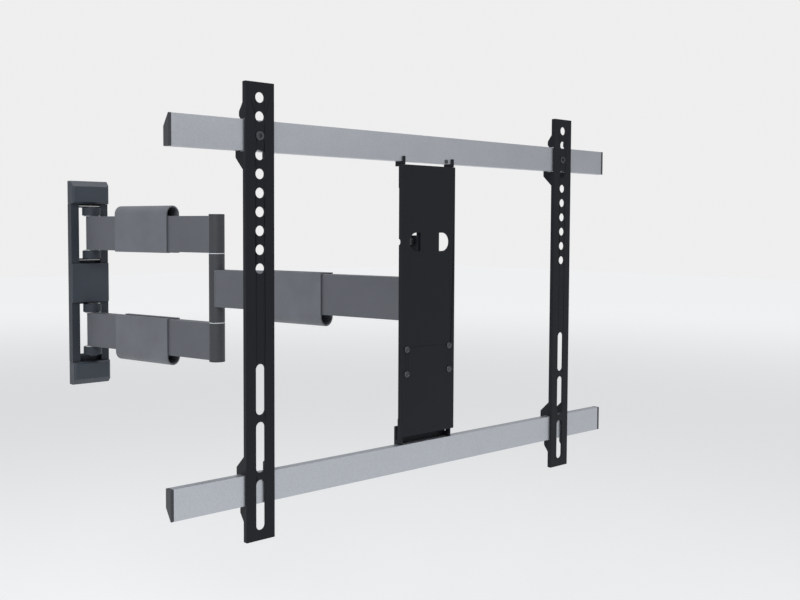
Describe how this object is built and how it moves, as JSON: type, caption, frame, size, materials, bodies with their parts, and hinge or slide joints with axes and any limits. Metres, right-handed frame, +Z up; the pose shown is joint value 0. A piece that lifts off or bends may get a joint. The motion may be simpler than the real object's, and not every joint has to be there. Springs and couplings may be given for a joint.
{
  "type": "full motion tv wall mount",
  "caption": "Full motion flat-screen wall mount: wall bracket, folding double arm with cable covers, swivel and tilt head, two aluminium rails and sliding slotted screen arms.",
  "frame": {"origin": "centre of the wall plate's back face, which lies against the wall", "axes": "+X to the right along the wall, +Y into the wall, +Z up; the arms reach out along -Y"},
  "size_m": [0.7, 0.6721, 0.488],
  "materials": {
    "wall_steel": "satin powder coat",
    "cover_plastic": "fine moulded grain",
    "arm_steel": "satin powder coat",
    "clip_plastic": "satin moulded",
    "black_steel": "fine matt powder coat",
    "rail_aluminium": "satin brushed",
    "cap_plastic": "matt moulded",
    "fastener_steel": "black zinc",
    "bush_nylon": "natural nylon"
  },
  "bodies": {
    "wall_bracket": {"wall_plate": "wall_steel", "upper_fork_top_lug": "wall_steel", "upper_fork_bottom_lug": "wall_steel", "lower_fork_top_lug": "wall_steel", "lower_fork_bottom_lug": "wall_steel", "top_cap": "cover_plastic", "middle_cover": "cover_plastic", "bottom_cap": "cover_plastic", "upper_wall_pin": "fastener_steel", "lower_wall_pin": "fastener_steel", "wall_pin_clips": "fastener_steel", "wall_pivot_washers": "bush_nylon"},
    "rear_arm": {"upper_rear_tube": "arm_steel", "lower_rear_tube": "arm_steel", "upper_wall_barrel": "arm_steel", "lower_wall_barrel": "arm_steel", "upper_wall_bush": "bush_nylon", "lower_wall_bush": "bush_nylon", "upper_elbow_barrel": "arm_steel", "lower_elbow_barrel": "arm_steel", "elbow_pin": "fastener_steel", "column_top_cap": "cap_plastic", "column_bottom_cap": "cap_plastic", "elbow_washers": "bush_nylon"},
    "upper_cover": {"upper_cable_cover": "clip_plastic"},
    "lower_cover": {"lower_cable_cover": "clip_plastic"},
    "forearm": {"forearm_tube": "arm_steel", "elbow_middle_barrel": "arm_steel", "elbow_bushes": "bush_nylon", "head_barrel": "arm_steel", "head_bush": "bush_nylon"},
    "forearm_cover": {"forearm_cable_cover": "clip_plastic"},
    "head": {"swivel_yoke": "black_steel", "swivel_pin": "fastener_steel", "swivel_pin_clip": "fastener_steel", "swivel_washers": "bush_nylon", "tilt_bolt": "fastener_steel", "tilt_nut": "fastener_steel", "tilt_spacers": "bush_nylon"},
    "screen_frame": {"spine_plate": "black_steel", "spine_channel": "black_steel", "top_rail": "rail_aluminium", "bottom_rail": "rail_aluminium", "top_rail_left_cap": "cap_plastic", "top_rail_right_cap": "cap_plastic", "bottom_rail_left_cap": "cap_plastic", "bottom_rail_right_cap": "cap_plastic", "top_rail_bracket": "black_steel", "bottom_rail_bracket": "black_steel", "rail_bolts": "fastener_steel", "spine_screws": "fastener_steel", "rail_stop_screw": "fastener_steel"},
    "left_arm": {"left_screen_arm": "black_steel", "left_lock_screw": "fastener_steel"},
    "right_arm": {"right_screen_arm": "black_steel", "right_lock_screw": "fastener_steel"}
  },
  "joints": [
    {"name": "wall_hinge", "type": "hinge", "parent": "wall_bracket", "child": "rear_arm", "pos_m": [0, -0.021, 0.003], "axis": [0, 0, 1], "range_deg": [-88, 62]},
    {"name": "elbow_hinge", "type": "hinge", "parent": "rear_arm", "child": "forearm", "pos_m": [0.06648, -0.30225, 0.003], "axis": [0, 0, 1], "range_deg": [-100, 100]},
    {"name": "head_swivel", "type": "hinge", "parent": "forearm", "child": "head", "pos_m": [0.14562, -0.63702, 0.003], "axis": [0, 0, 1], "range_deg": [-35, 35]},
    {"name": "screen_tilt", "type": "hinge", "parent": "head", "child": "screen_frame", "pos_m": [0.14562, -0.65602, 0.075], "axis": [1, 0, 0], "range_deg": [-5, 7]},
    {"name": "left_arm_slide", "type": "slide", "parent": "screen_frame", "child": "left_arm", "axis": [1, 0, 0], "range_m": [-0.05, 0.15]},
    {"name": "right_arm_slide", "type": "slide", "parent": "screen_frame", "child": "right_arm", "axis": [1, 0, 0], "range_m": [-0.15, 0.05]},
    {"name": "upper_cover_slide", "type": "slide", "parent": "rear_arm", "child": "upper_cover", "axis": [0.23, -0.9732, 0], "range_m": [-0.05, 0.07]},
    {"name": "lower_cover_slide", "type": "slide", "parent": "rear_arm", "child": "lower_cover", "axis": [0.23, -0.9732, 0], "range_m": [-0.05, 0.07]},
    {"name": "forearm_cover_slide", "type": "slide", "parent": "forearm", "child": "forearm_cover", "axis": [0.23, -0.9732, 0], "range_m": [-0.06, 0.09]}
  ]
}
